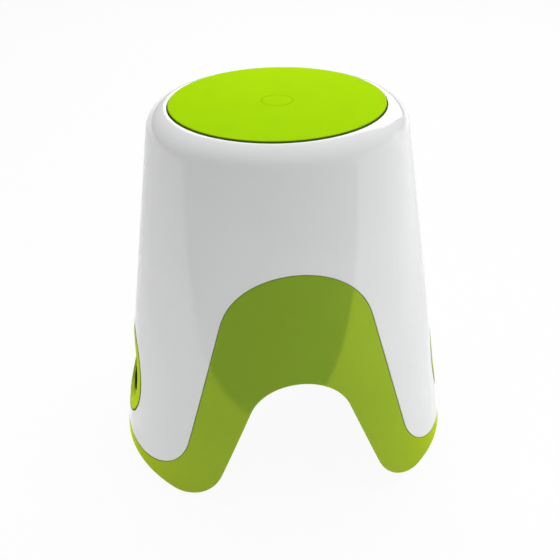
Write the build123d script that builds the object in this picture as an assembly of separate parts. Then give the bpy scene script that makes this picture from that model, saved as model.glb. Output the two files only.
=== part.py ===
from build123d import *
from math import asin, atan, cos, radians, sin, tan
import os

os.makedirs("parts", exist_ok=True)

# A free-standing stool: a green inner body stands on four pads and carries a white bell-shaped shell.
# Both have a wide arch at the front (-Y) and at the back, and a hand grip at each side (+X and -X).
# A green disc lies in the top. Lengths are millimetres, angles degrees, z = 0 is the floor.

# Outer surface: a straight taper from the floor to the shoulder, then an arc into the flat rim
seat_height = 430.0
disc_proud = 1.8
floor_radius = 208.5
shoulder_radius = 150.0
shoulder_height = 400.0
shoulder_round = 26.0

# Walls and the gaps between the mouldings
shell_wall = 3.5
body_wall = 3.0
band_wall = 3.4
step_wall = 3.0
wall_gap = 0.4
seam_gap = 0.5
edge_round = 1.0
cut_overrun = 30.0

# Edge of the white shell: a round arch with leaning sides that run out into the low rim line
shell_arch_radius = 87.5
shell_arch_height = 209.5
shell_arch_lean = 15.5
lobe_round = 85.0
rim_line_height = 12.5

# Doorway of the green body, which is the opening that one sees through
door_radius = 61.0
door_height = 108.5
door_lean = 22.5
foot_round = 72.0

# Hand grip in each side: an egg-shaped window, widest at grip_height
grip_height = 90.0
grip_half_width = 66.5
grip_rise = 68.0
grip_drop = 60.0
grip_flange = 12.0
grip_dish = 4.0
grip_wall = 2.6
grip_clearance = 0.8
slot_width = 78.0
slot_height = 52.0
slot_round = 22.0
slot_level = 89.0
collar_depth = 16.0
hook_width = 12.0
hook_reach = 1.8
hook_thickness = 2.4
hook_clearance = 0.3
hook_wall = 2.0
hook_wall_inset = 0.3

# Recess in the top of the shell, and the seat disc in it
disc_radius = 123.0
disc_gap = 1.0
recess_depth = 10.2
disc_plate = 3.0
disc_skirt = 3.0
disc_edge_round = 1.2
disc_rib_width = 2.0
disc_rib_radii = [40.0, 72.0, 108.0]
peg_radius = 3.0
peg_length = 2.8
peg_circle = 60.0
peg_count = 3
peg_clearance = 0.2

# Centre cap over the screw that holds the seat disc
cap_radius = 18.0
cap_thickness = 2.0
cap_gap = 0.15
cap_seat_rim = 3.0
cap_seat_depth = 2.5
cap_skirt_length = 2.2
cap_skirt_wall = 1.4
cap_skirt_gap = 0.2
well_radius = 9.0
well_depth = 4.5
well_wall = 3.0

# Screw in the middle of the seat disc, and the boss under the top plate that takes it
seat_screw_shank = 2.4
seat_screw_length = 18.0
seat_screw_head = 4.6
seat_screw_head_height = 2.6
boss_wall = 4.6
boss_length = 14.0
boss_hole_spare = 2.0
screw_fit = 0.05
screw_clearance = 0.4
socket_radius = 1.6
socket_depth = 1.4

# Screws through the top of the body into blind bosses of the shell
screw_count = 6
screw_circle = 92.0
screw_shank = 1.7
screw_head = 4.0
screw_head_height = 2.4
screw_bite = 6.0
screw_boss_wall = 2.6
screw_boss_cover = 1.5

# Gussets inside the top of the body, and the plate gap under the top plate of the shell
plate_gap = 0.3
gusset_count = 8
gusset_start = 22.5
gusset_length = 34.0
gusset_drop = 52.0
gusset_thickness = 2.4

# Foot: an inward flange at the bottom of each leg, with two anti-slip pads glued into pockets
pad_proud = 1.0
foot_flange = 22.0
foot_flange_wall = 4.4
pad_length = 36.0
pad_width = 11.0
pad_round = 5.0
pad_pocket_depth = 2.2
pad_fit = 0.3
pad_inset = 12.5
pad_bearing = 32.0

# Where edges are looked for when they are rounded
edge_search_share = 0.2
edge_sample_shares = (0, 0.5, 1)

# Derived sizes and places
taper = atan((floor_radius - shoulder_radius) / shoulder_height)
rim_height = seat_height - disc_proud
shoulder_centre_height = rim_height - shoulder_round
shoulder_centre_radius = floor_radius - shoulder_centre_height * tan(taper) - shoulder_round / cos(taper)
reach = floor_radius + cut_overrun
body_inset = shell_wall + wall_gap
body_inner_inset = body_inset + body_wall
recess_radius = disc_radius + disc_gap
plate_top = rim_height - recess_depth
plate_bottom = plate_top - shell_wall
body_top = plate_bottom - plate_gap
body_ceiling = body_top - body_wall
disc_underside = seat_height - disc_plate
cap_floor = seat_height - cap_thickness
well_floor = cap_floor - well_depth
flange_top = pad_proud + foot_flange_wall
dish_edge = seam_gap + grip_flange
pad_radius = floor_radius - pad_inset
edge_tolerance = seam_gap * edge_search_share


def drum(radius, bottom, top):
    """Upright cylinder on the stool's axis between two heights."""
    return Pos(0, 0, bottom) * Cylinder(radius, top - bottom, align=(Align.CENTER, Align.CENTER, Align.MIN))


def tube(outer, inner, bottom, top):
    """Upright ring on the stool's axis between two heights."""
    return drum(outer, bottom, top) - drum(inner, bottom, top)


def around(shape, count, start=0.0):
    """Copies of one solid, evenly turned about the stool's axis."""
    step = 360 / count
    return [Rot(0, 0, start + step * place) * shape for place in range(count)]


def bell(inset, top=rim_height):
    """Solid inside the outer surface moved inwards by inset, from under the floor up to a flat top."""
    arc = shoulder_round - inset
    rise = min(top, rim_height - inset) - shoulder_centre_height
    end = asin(rise / arc) if rise < arc else radians(90)
    middle = (taper + end) / 2

    def on_arc(angle):
        return (shoulder_centre_radius + arc * cos(angle), shoulder_centre_height + arc * sin(angle))

    foot = (floor_radius - inset / cos(taper) + cut_overrun * tan(taper), -cut_overrun)
    side = Line(foot, on_arc(taper))
    shoulder = ThreePointArc(on_arc(taper), on_arc(middle), on_arc(end))
    height = on_arc(end)[1]
    closing = Polyline(on_arc(end), (0, height), (0, -cut_overrun), foot)
    profile = make_face(Curve() + [side, shoulder, closing])
    back_half_plane = Plane(origin=(0, 0, 0), x_dir=(0, 1, 0), z_dir=(1, 0, 0))
    return revolve(back_half_plane * profile, axis=Axis.Z)


def layer(outer_inset, inner_inset):
    """Wall between two insets of the outer surface."""
    return bell(outer_inset) - bell(inner_inset)


def arch_prism(radius, centre_height, lean, corner, base, shrink=0.0):
    """Space of an arch cut straight through along Y, made smaller all round by shrink.

    The outline is an arc over the top, a leaning straight side, and a corner arc that runs
    out level at the base height. Below the base it takes in everything.
    """
    angle = radians(lean)
    top = radius - shrink
    bend = corner + shrink
    corner_z = base + corner
    corner_x = (radius + corner + (centre_height - corner_z) * sin(angle)) / cos(angle)
    bisector = radians(225) + angle / 2
    crown = (0, centre_height + top)
    side_top = (top * cos(angle), centre_height + top * sin(angle))
    side_foot = (corner_x - bend * cos(angle), corner_z - bend * sin(angle))
    corner_middle = (corner_x + bend * cos(bisector), corner_z + bend * sin(bisector))
    corner_end = (corner_x, corner_z - bend)
    wide_x = max(reach, corner_x + cut_overrun)
    outer_top = (wide_x, corner_z - bend)
    outer_foot = (wide_x, -cut_overrun)

    def left(point):
        return (-point[0], point[1])

    outline = Curve() + [
        ThreePointArc(left(side_top), crown, side_top),
        Line(side_top, side_foot),
        ThreePointArc(side_foot, corner_middle, corner_end),
        Polyline(corner_end, outer_top, outer_foot, left(outer_foot), left(outer_top), left(corner_end)),
        ThreePointArc(left(corner_end), left(corner_middle), left(side_foot)),
        Line(left(side_foot), left(side_top)),
    ]
    return extrude(Plane.XZ * make_face(outline), amount=reach, both=True)


def shell_arch(shrink=0.0):
    """Space of the arch in the white shell."""
    return arch_prism(
        shell_arch_radius, shell_arch_height, shell_arch_lean, lobe_round, rim_line_height, shrink
    )


def door_arch():
    """Space of the doorway in the green body."""
    return arch_prism(door_radius, door_height, door_lean, foot_round, 0.0)


def egg_prism(shrink):
    """Egg-shaped window along +X: two half ellipses that share their width, smaller by shrink."""
    width = grip_half_width - shrink
    upper = EllipticalCenterArc((0, grip_height), width, grip_rise - shrink, 0, arc_size=180)
    lower = EllipticalCenterArc((0, grip_height), width, grip_drop - shrink, 180, arc_size=180)
    return extrude(Plane.YZ * make_face(Curve() + [upper, lower]), amount=reach)


def slot_prism(grow):
    """Rounded slot for the fingers along +X, larger all round by grow."""
    outline = RectangleRounded(slot_width + 2 * grow, slot_height + 2 * grow, slot_round + grow)
    return extrude(Plane.YZ * (Pos(0, slot_level) * outline), amount=reach)


def both_sides(shape):
    """The same solid at the right and, mirrored, at the left."""
    return [shape, mirror(shape, about=Plane.YZ)]


def distance_from_axis(point):
    """How far a point is from the stool's axis."""
    return (point.X ** 2 + point.Y ** 2) ** 0.5


def soften_outline(shape, round_radius):
    """Round the edges on the tapered outer surface, all but the joint line of the turned surface."""
    found = []
    for edge in shape.edges():
        middle = edge.position_at(0.5)
        off_surface = distance_from_axis(middle) - (floor_radius - middle.Z * tan(taper))
        on_surface = abs(off_surface) < edge_tolerance
        width = max(abs(edge.position_at(share).X) for share in edge_sample_shares)
        if on_surface and width > edge_tolerance and middle.Z < shoulder_centre_height:
            found.append(edge)
    return fillet(found, round_radius)


def soften_recess_lip(shell):
    """Round the lip of the recess that the seat disc lies in."""
    found = []
    for edge in shell.edges():
        middle = edge.position_at(0.5)
        on_wall = abs(distance_from_axis(middle) - recess_radius) < edge_tolerance
        if on_wall and middle.Z > disc_underside - disc_proud:
            found.append(edge)
    return fillet(found, edge_round)


def make_outer_shell():
    """White bell with a recess for the seat disc, two arches, two grip windows and screw bosses."""
    shell = bell(0) - bell(shell_wall)
    shell += drum(recess_radius + shell_wall, plate_bottom, rim_height - shell_wall / 2)
    shell -= drum(recess_radius, plate_top, seat_height)
    shell -= shell_arch()
    shell -= both_sides(egg_prism(0))
    shell = soften_outline(shell, edge_round)
    shell = soften_recess_lip(shell)
    shell += drum(seat_screw_shank + boss_wall, plate_bottom - boss_length, plate_top)
    bore_foot = well_floor - seat_screw_length - boss_hole_spare
    shell -= drum(seat_screw_shank + screw_fit, bore_foot, seat_height)
    boss_top = plate_top + screw_bite - shell_wall + screw_boss_cover
    boss = Pos(screw_circle) * drum(screw_shank + screw_boss_wall, plate_bottom, boss_top)
    bore = Pos(screw_circle) * drum(screw_shank + screw_fit, plate_bottom, boss_top - screw_boss_cover)
    shell += around(boss, screw_count)
    shell -= around(bore, screw_count)
    peg_hole = Pos(peg_circle) * drum(peg_radius + peg_clearance, plate_bottom, plate_top)
    shell -= around(peg_hole, peg_count)
    return shell


def make_inner_body():
    """Green body: a hidden wall inside the shell that steps out flush where the shell is cut away."""
    hidden = bell(body_inset, body_top) - bell(body_inner_inset, body_ceiling)
    hidden -= shell_arch(seam_gap + step_wall)
    shown = layer(0, band_wall) & shell_arch(seam_gap)
    step = layer(0, body_inner_inset) & (shell_arch(seam_gap) - shell_arch(seam_gap + step_wall))
    flange_slab = drum(reach, pad_proud, flange_top)
    flange = layer(0, foot_flange) & flange_slab
    body = hidden + shown + step + flange
    body += around(gusset(), gusset_count, gusset_start)
    body -= door_arch()
    body -= drum(reach, -cut_overrun, pad_proud)
    body -= both_sides(egg_prism(dish_edge - grip_clearance))
    body -= drum(seat_screw_shank + boss_wall + screw_clearance, body_ceiling, body_top)
    screw_hole = Pos(screw_circle) * drum(screw_shank + screw_clearance, body_ceiling, body_top)
    body -= around(screw_hole, screw_count)
    for bearing in pad_bearings().values():
        body -= foot_block(bearing, pad_fit, pad_proud, pad_proud + pad_pocket_depth)
    return soften_outline(body, edge_round)


def gusset():
    """Upright stiffening web in the corner between the top plate and the side of the body."""
    def wall_radius(height):
        return floor_radius - (body_inset + body_wall / 2) / cos(taper) - height * tan(taper)

    plate_middle = body_ceiling + body_wall / 2
    low = body_ceiling - gusset_drop
    corner = shoulder_centre_height
    outline = Polyline(
        (wall_radius(corner) - gusset_length, plate_middle),
        (shoulder_centre_radius, plate_middle),
        (wall_radius(corner), corner),
        (wall_radius(low), low),
        (wall_radius(corner) - gusset_length, plate_middle),
    )
    return extrude(Plane.XZ * make_face(outline), amount=gusset_thickness / 2, both=True)


def make_grip_liner():
    """Right grip liner: a flush ring, a shallow dish, a finger slot with a collar, and four hooks."""
    ring_back = body_inset - hook_clearance
    inside_ring = ring_back / 2
    dish_back = grip_dish + grip_wall
    liner = layer(0, ring_back) & egg_prism(seam_gap)
    liner += layer(inside_ring, dish_back) & egg_prism(dish_edge)
    liner += layer(inside_ring, collar_depth) & slot_prism(grip_wall)
    liner -= egg_prism(dish_edge + grip_wall) - bell(grip_dish)
    liner -= slot_prism(0)
    catch = body_inner_inset + hook_clearance
    hook_end = catch + hook_thickness
    leg_outer = dish_edge + hook_wall_inset
    leg_space = egg_prism(leg_outer + hook_wall)
    hooks = layer(inside_ring, hook_end) & (egg_prism(leg_outer) - leg_space)
    hooks += layer(catch, hook_end) & (egg_prism(dish_edge - hook_reach) - leg_space)
    liner += hooks & (grip_bar(2 * grip_half_width, hook_width) + grip_bar(hook_width, 2 * grip_rise))
    return soften_outline(liner, edge_round)


def grip_bar(width, height):
    """Rectangular space along +X through the middle of the grip."""
    return extrude(Plane.YZ * (Pos(0, grip_height) * Rectangle(width, height)), amount=reach)


def make_seat_disc():
    """Green disc with a skirt, ring ribs, locating pegs and a screw well under the centre cap."""
    disc = drum(disc_radius, disc_underside, seat_height)
    disc = fillet(disc.edges().group_by(Axis.Z)[-1], disc_edge_round)
    disc += tube(disc_radius, disc_radius - disc_skirt, plate_top, disc_underside)
    for radius in disc_rib_radii:
        disc += tube(radius + disc_rib_width / 2, radius - disc_rib_width / 2, plate_top, disc_underside)
    disc += drum(cap_radius + cap_seat_rim, disc_underside - cap_seat_depth, disc_underside)
    disc += drum(well_radius + well_wall, plate_top, disc_underside)
    disc -= drum(cap_radius, cap_floor, seat_height)
    disc -= drum(well_radius, well_floor, cap_floor)
    disc -= drum(seat_screw_shank + screw_clearance, plate_top, well_floor)
    peg = Pos(peg_circle) * drum(peg_radius, plate_top - peg_length, disc_underside)
    disc += around(peg, peg_count)
    return disc


def make_centre_cap():
    """Flat round cap with a short skirt that snaps into the screw well."""
    cap = drum(cap_radius - cap_gap, cap_floor, seat_height)
    skirt_radius = well_radius - cap_skirt_gap
    cap += tube(skirt_radius, skirt_radius - cap_skirt_wall, cap_floor - cap_skirt_length, cap_floor)
    return cap


def make_seat_screw():
    """Pan-head screw, head up, from the well of the disc into the boss of the shell."""
    screw = drum(seat_screw_shank, well_floor - seat_screw_length, well_floor)
    head_top = well_floor + seat_screw_head_height
    screw += drum(seat_screw_head, well_floor, head_top)
    screw -= Pos(0, 0, head_top) * hex_socket(seat_screw_head / 2)
    return screw


def hex_socket(radius):
    """Hexagonal drive socket sunk to both sides of the plane z = 0."""
    return extrude(RegularPolygon(radius, 6), amount=socket_depth, both=True)


def make_shell_screws():
    """Screws, heads down, under the top plate of the body."""
    tip = body_ceiling + body_wall + plate_gap + screw_bite
    screw = drum(screw_shank, body_ceiling, tip)
    head_foot = body_ceiling - screw_head_height
    screw += drum(screw_head, head_foot, body_ceiling)
    screw -= Pos(0, 0, head_foot) * hex_socket(socket_radius)
    return Compound(children=around(Pos(screw_circle) * screw, screw_count))


def pad_bearings():
    """Directions of the four pads, measured from +X, and their names."""
    return {
        "front_right": -pad_bearing,
        "back_right": pad_bearing,
        "back_left": 180 - pad_bearing,
        "front_left": 180 + pad_bearing,
    }


def foot_block(bearing, grow, bottom, top):
    """Rounded block under a leg, larger all round by grow."""
    outline = RectangleRounded(pad_width + 2 * grow, pad_length + 2 * grow, pad_round + grow)
    block = extrude(Pos(pad_radius, 0, bottom) * outline, amount=top - bottom)
    return Rot(0, 0, bearing) * block


def make_foot_pad(bearing):
    """Anti-slip pad in its pocket, standing on the floor."""
    return foot_block(bearing, 0.0, 0.0, pad_proud + pad_pocket_depth)


right_liner = make_grip_liner()
nodes = {
    "outer_shell": make_outer_shell(),
    "inner_body": make_inner_body(),
    "seat_disc": make_seat_disc(),
    "centre_cap": make_centre_cap(),
    "seat_screw": make_seat_screw(),
    "shell_screws": make_shell_screws(),
    "grip_liner_right": right_liner,
    "grip_liner_left": mirror(right_liner, about=Plane.YZ),
}
for name, bearing in pad_bearings().items():
    nodes["foot_pad_" + name] = make_foot_pad(bearing)

for name, shape in nodes.items():
    export_step(shape, "parts/" + name + ".step")
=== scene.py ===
from math import acos, asin, atan, cos, pi, radians, sin, tan

import bmesh
import bpy
import numpy as np
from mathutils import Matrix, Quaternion, Vector


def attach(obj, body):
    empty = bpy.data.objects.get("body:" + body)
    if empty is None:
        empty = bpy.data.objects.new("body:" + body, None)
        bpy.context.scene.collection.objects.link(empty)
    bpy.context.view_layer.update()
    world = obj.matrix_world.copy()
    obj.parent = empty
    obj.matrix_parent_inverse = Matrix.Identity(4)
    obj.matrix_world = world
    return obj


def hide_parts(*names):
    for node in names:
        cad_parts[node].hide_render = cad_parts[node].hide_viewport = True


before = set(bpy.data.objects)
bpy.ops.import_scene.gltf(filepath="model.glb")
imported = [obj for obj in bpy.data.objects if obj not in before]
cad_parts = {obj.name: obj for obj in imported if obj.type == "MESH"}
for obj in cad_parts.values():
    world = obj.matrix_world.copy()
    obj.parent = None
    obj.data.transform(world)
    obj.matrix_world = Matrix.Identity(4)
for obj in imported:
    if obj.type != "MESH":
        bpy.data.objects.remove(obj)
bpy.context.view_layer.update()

# Sizes of the stool in metres: z = 0 is the floor, -Y the front arch, +X the right grip
MM = 0.001
SEAT_HEIGHT = 430 * MM
RIM_HEIGHT = 428.2 * MM
FLOOR_RADIUS = 208.5 * MM
SHOULDER_RADIUS = 150 * MM
SHOULDER_HEIGHT = 400 * MM
SHOULDER_ROUND = 26 * MM
EDGE_ROUND = 1.0 * MM
SEAM_GAP = 0.5 * MM

SHELL_WALL = 3.5 * MM
BODY_INSET = 3.9 * MM
BODY_WALL = 3.0 * MM
BAND_WALL = 3.4 * MM
STEP_WALL = 3.0 * MM
PLATE_TOP = 418 * MM
PLATE_BOTTOM = 414.5 * MM
BODY_TOP = 414.2 * MM
BODY_CEILING = 411.2 * MM
BOSS_RADIUS = 7 * MM
BOSS_HOLE_RADIUS = 7.4 * MM
BOSS_BOTTOM = 400.5 * MM
BOSS_ROOT = 415 * MM
BOSS_ROUND = 0.6 * MM

FOOT_HEIGHT = 1.0 * MM
FLANGE_TOP = 5.4 * MM
FLANGE_WIDTH = 22 * MM

GRIP_HEIGHT = 90 * MM
GRIP_HALF_WIDTH = 66.5 * MM
GRIP_RISE = 68 * MM
GRIP_DROP = 60 * MM
GRIP_RING = 15 * MM
GRIP_DISH = 4 * MM
GRIP_WALL = 2.6 * MM
GRIP_PLUG = 12.5 * MM
GRIP_CLEARANCE = 0.8 * MM
RING_BACK = 3.6 * MM
SLOT_WIDTH = 78 * MM
SLOT_DEPTH = 52 * MM
SLOT_ROUND = 22 * MM
SLOT_LEVEL = 89 * MM
SLOT_LIP = 1.6 * MM
DISH_SHARE = 0.42
COLLAR_DEPTH = 16 * MM
COLLAR_ROUND = 0.8 * MM
HOOK_WIDTH = 12 * MM
HOOK_LEG = 2.0 * MM
HOOK_PLAY = 0.3 * MM
HOOK_REACH = 1.8 * MM
HOOK_START = 4 * MM
HOOK_CATCH = 7.2 * MM
HOOK_END = 9.6 * MM
HOOK_NOSE_DEPTH = 0.6 * MM
HOOK_NOSE_FALL = 1.2 * MM
HOOK_SOFT = 0.4 * MM
HOOK_PULL = 0.06

DISC_RADIUS = 123 * MM
RECESS_RADIUS = 124 * MM
DISC_ROUND = 1.2 * MM
DISC_PLATE = 3.0 * MM
DISC_SKIRT = 3 * MM
SKIRT_ROUND = 0.4 * MM
RIB_RADII = [40 * MM, 72 * MM, 108 * MM]
RIB_HALF = 1 * MM
SCREW_HOLE_RADIUS = 2.8 * MM
WELL_RADIUS = 9 * MM
WELL_DEPTH = 6.5 * MM
WELL_BOSS_RADIUS = 12 * MM
BACKING_RADIUS = 21 * MM
BACKING_DEPTH = 2.5 * MM
CAP_RADIUS = 18 * MM
CAP_DEPTH = 2 * MM
CAP_ROUND = 0.45 * MM
CAP_PLAY = 0.15 * MM
CAP_SKIRT_OUTER = 8.8 * MM
CAP_SKIRT_INNER = 7.4 * MM
CAP_SKIRT_LENGTH = 2.2 * MM
CAP_SOFT = 0.3 * MM
PEG_COUNT = 3
PEG_CIRCLE = 60 * MM
PEG_RADIUS = 3 * MM
PEG_TIP = 415.2 * MM
PEG_ROUND = 0.5 * MM
PEG_ROOT = 1 * MM

PAD_LENGTH = 36 * MM
PAD_WIDTH = 11 * MM
PAD_ROUND = 5 * MM
PAD_HEIGHT = 3.2 * MM
PAD_RADIUS = 196 * MM
PAD_BEARING = radians(32)
PAD_CORE = 4.99 * MM
PAD_TOP_SOFT = 0.3 * MM
PAD_SOLE_SOFT = 0.5 * MM
PAD_SOLE_MIDDLE = 0.15 * MM
GROOVE_COUNT = 3
GROOVE_START = 1.1 * MM
GROOVE_PITCH = 1.25 * MM
GROOVE_WIDTH = 0.6 * MM
GROOVE_DEPTH = 0.45 * MM
GROOVE_SLOPE = 0.15 * MM

SEAT_SCREW = {"shank": 2.4 * MM, "head": 4.6 * MM, "head_height": 2.6 * MM, "length": 18 * MM,
              "socket": 2.3 * MM}
SHELL_SCREW = {"shank": 1.7 * MM, "head": 4 * MM, "head_height": 2.4 * MM, "length": 9.3 * MM,
               "socket": 1.6 * MM}
SHELL_SCREW_COUNT = 6
SCREW_CIRCLE = 92 * MM
SOCKET_DEPTH = 1.4 * MM
TIP_LENGTH = 0.8 * MM

GUSSET_COUNT = 8
GUSSET_TURN = radians(22.5)
GUSSET_LENGTH = 34 * MM
GUSSET_DROP = 52 * MM
GUSSET_THICKNESS = 2.4 * MM
GUSSET_CORNER = 15 * MM
GUSSET_SOFT = 0.5 * MM

TAPER = atan((FLOOR_RADIUS - SHOULDER_RADIUS) / SHOULDER_HEIGHT)
ARC_HEIGHT = RIM_HEIGHT - SHOULDER_ROUND
ARC_RADIUS = FLOOR_RADIUS - ARC_HEIGHT * tan(TAPER) - SHOULDER_ROUND / cos(TAPER)
BODY_INNER = BODY_INSET + BODY_WALL

# Mesh density. The side's lines lie at shares of its height, closer together in the lower part, where the
# grips are. GRIP_ROWS and GRIP_SPREAD, an angle either side of the X axis, bound the block round each grip
COLUMN_PITCH = 2.6 * MM
SIDE_SHARES = np.concatenate([np.linspace(0, 0.6, 11), np.linspace(0.6, 0.984, 14)[1:], [1.0]])
GRIP_ROWS = slice(10, 23)
GRIP_SPREAD = 0.405
GRIP_COLUMNS = 260
DISC_COLUMNS = 320
CAP_COLUMNS = 160
SCREW_COLUMNS = 48
PEG_COLUMNS = 32
PAD_COLUMNS = 96
TOP_RING_RADIUS = 70 * MM
SHOULDER_STEPS = 20
ROUND_STEPS = 6
EDGE_SAMPLES = 4001
EGG_SAMPLES = 720
CORNER_SAMPLES = 24
SUBSTITUTIONS = 50
MERGE_DISTANCE = 0.002 * MM
ON_SURFACE = 0.003 * MM

# Colours: each piece's colour drifts slowly from the first to the second
SHELL_WHITES = (0.83, 0.835, 0.84), (0.81, 0.815, 0.82)
BODY_GREENS = (0.25, 0.4, 0.034), (0.24, 0.39, 0.032)
# The liner's greens are the body's green painted lighter, standing in for the light on the dished grip
LINER_GREENS = (0.28, 0.46, 0.045), (0.27, 0.45, 0.042)
SEAT_LIMES = (0.273, 0.567, 0.0015), (0.269, 0.561, 0.0015)
STEEL_GREYS = (0.62, 0.62, 0.63), (0.5, 0.51, 0.53)
RUBBER_GREYS = (0.035, 0.035, 0.035), (0.075, 0.072, 0.068)
FLOOR_WHITES = (0.88, 0.88, 0.88), (0.9, 0.9, 0.9)
# Colours of painted shade: in the liners' finger slots and seams, and on the disc's wall in the gap
LINER_PAINTED_SHADE = (0.012, 0.025, 0.001)
DISC_PAINTED_SHADE = (0.1, 0.18, 0.002)

# Painted shade in the gap round the disc and in the liners' seams: how far in from the edge it starts and
# is full
WALL_SHADE_START = 0.9 * MM
WALL_SHADE_FULL = 0.3 * MM
TOP_SHADE_FULL = 0.7 * MM
TOP_SHADE_END = 0.1 * MM
SEAM_SHADE_START = 3.8 * MM
SEAM_SHADE_FULL = 0.8 * MM
SEAM_SHADE = 0.8

# Finishes: colour and refractive index of a coloured gloss, roughness, and heights of the surface texture
GREEN_GLOSS = (0.92, 1.0, 0.05), 1.8
LIME_GLOSS = (0.9, 1.0, 0.1), 1.3
PLAIN_GLOSS = 0.5
POLISHED = 0.05
SATIN = 0.5
PEEL = 0.002 * MM
SPARK_GRAIN = 0.008 * MM

# Light levels: 1 is white. The gloss mirrors a dark room with a white sheet in it. On the floor the sheet
# ends along y = -SHEET_FRONT - SHEET_LEAN x - SHEET_BEND x^2. In the room it ends at the horizon, LEFT_RISE
# higher at the left, and at the plane z = ROOM_LEAN y - ROOM_DROP
DARK_LEVEL = 0.12
SHEET_GLOW = 0.82
# In the floor's reflection, RIGHT_GLOW and NEAR_GLOW are painted light: brighter to the right and round the
# feet
RIGHT_GLOW = 0.42
NEAR_GLOW = 0.2
SHEET_FRONT = 0.52
SHEET_LEAN = 0.27
SHEET_BEND = 0.035
ROOM_LEAN = 0.35
ROOM_DROP = 0.2
LEFT_RISE = 0.055
FLOOR_HALF = 4
FLOOR_PLAIN = 0.94

# Lamps: name, place, target, sides and the light that each gives at its target
LAMPS = [("back_softbox", (0.71, 2.17, 1.44), (0, 0, 0.42), (2.5, 1.43), 0.43),
         ("overhead", (0.1, 0.25, 2.2), (0, 0, 0.4), (1.4, 1.4), 0.94),
         ("side_right", (1.7, -0.8, 0.9), (0, 0, 0.25), (0.9, 0.9), 0.146),
         ("side_left", (-1.7, -0.4, 0.7), (0, 0, 0.2), (0.9, 0.9), 0.08),
         ("low_left", (-0.9, -0.9, 0.12), (0, 0, 0.1), (0.35, 0.35), 0.2),
         ("low_right", (0.7, -0.9, 0.12), (0, 0, 0.1), (0.35, 0.35), 0.195)]

# Camera: the photograph's viewing angle. Its sensor and focal length are in millimetres
SENSOR_WIDTH = 36
FOCAL_LENGTH = 57.86
EYE = (-0.1066, -0.9673, 0.7688)
AIM = (-0.0009, 0.0001, 0.1956)
ROLL = radians(-1.19)


class Arch:
    """Outline of an arch: an arc over the top, a leaning straight side, a corner arc that runs out level.

    radius, centre, corner and base are in millimetres, and lean is in degrees from upright.
    """

    def __init__(self, radius, centre, lean, corner, base):
        self.radius = radius * MM
        self.centre = centre * MM
        self.lean = radians(lean)
        self.corner = corner * MM
        self.corner_z = (base + corner) * MM
        rise = (self.centre - self.corner_z) * sin(self.lean)
        self.corner_x = (self.radius + self.corner + rise) / cos(self.lean)

    def height(self, across, grow):
        """Height of the edge at a distance across from the middle, with the opening grown all round.

        Arc: centre + sqrt(top^2 - across^2). Side: down the tangent at the lean angle.
        Corner: corner_z - sqrt(bend^2 - (across - corner_x)^2), then level.
        """
        top = self.radius + grow
        bend = self.corner - grow
        side_x = top * cos(self.lean)
        side_z = self.centre + top * sin(self.lean)
        foot_x = self.corner_x - bend * cos(self.lean)
        over = self.centre + np.sqrt(np.maximum(top ** 2 - across ** 2, 0))
        beside = side_z - (across - side_x) / tan(self.lean)
        corner = self.corner_z - np.sqrt(np.maximum(bend ** 2 - (across - self.corner_x) ** 2, 0))
        places = [across < side_x, across < foot_x, across < self.corner_x]
        return np.select(places, [over, beside, corner], self.corner_z - bend)


SHELL_ARCH = Arch(radius=87.5, centre=209.5, lean=15.5, corner=85, base=12.5)
DOOR_ARCH = Arch(radius=61, centre=108.5, lean=22.5, corner=72, base=0)


def side_radius(height, inset=0.0):
    """Radius of the tapered side at a height, with the surface moved inwards by inset."""
    return FLOOR_RADIUS - inset / cos(TAPER) - height * tan(TAPER)


def ring(angles, radius, height):
    """Points round the axis: x = radius sin(angle), y = -radius cos(angle). Angle 0 is the front."""
    radius = radius + 0 * angles
    return np.stack([radius * np.sin(angles), -radius * np.cos(angles), height + 0 * angles], axis=-1)


def side_ring(angles, height, inset=0.0):
    """Points on the tapered side, one for each angle, at heights that may differ."""
    return ring(angles, side_radius(height, inset), height)


def cut_height(angles, arch, grow, inset, lowest=0.0):
    """Height at which an arch cuts the side, for each angle.

    The arch runs straight through along Y, so its edge is met where across = radius(height) sin(angle).
    Height and radius depend on each other and are found by repeated substitution.
    """
    height = arch.centre + 0 * angles
    for _ in range(SUBSTITUTIONS):
        height = arch.height(np.abs(side_radius(height, inset) * np.sin(angles)), grow)
    return np.maximum(height, lowest)


def column_angles(arches):
    """Angles of the columns round the bell, closer together where an edge is steep.

    The longest of the arches' edges is measured along the quarter turn and shared out evenly,
    and the quarter is mirrored to the whole turn.
    """
    fine = np.linspace(0, pi / 2, EDGE_SAMPLES)
    steps = np.zeros(len(fine) - 1)
    for arch in arches:
        edge = side_ring(fine, cut_height(fine, arch, 0, 0, FOOT_HEIGHT))
        steps = np.maximum(steps, np.linalg.norm(np.diff(edge, axis=0), axis=1))
    along = np.concatenate([[0], np.cumsum(steps)])
    count = int(np.ceil(along[-1] / COLUMN_PITCH))
    quarter = np.interp(np.linspace(0, along[-1], count + 1), along, fine)
    half = np.concatenate([quarter[:-1], pi - quarter[::-1]])
    return np.concatenate([half[:-1], 2 * pi - half[::-1]])[:-1]


def arc_rings(angles, inset, start, end, steps):
    """Rings down the shoulder arc: centre + (round - inset) (cos a, sin a) for a from start to end."""
    arc = SHOULDER_ROUND - inset
    return [ring(angles, ARC_RADIUS + arc * cos(a), ARC_HEIGHT + arc * sin(a))
            for a in np.linspace(start, end, steps)]


def side_lines(angles, foot, inset):
    """Lines down the side from the end of the shoulder arc to foot, at the shares of SIDE_SHARES."""
    top = ARC_HEIGHT + (SHOULDER_ROUND - inset) * sin(TAPER)
    return [side_ring(angles, top + (foot - top) * share, inset) for share in SIDE_SHARES]


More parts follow.
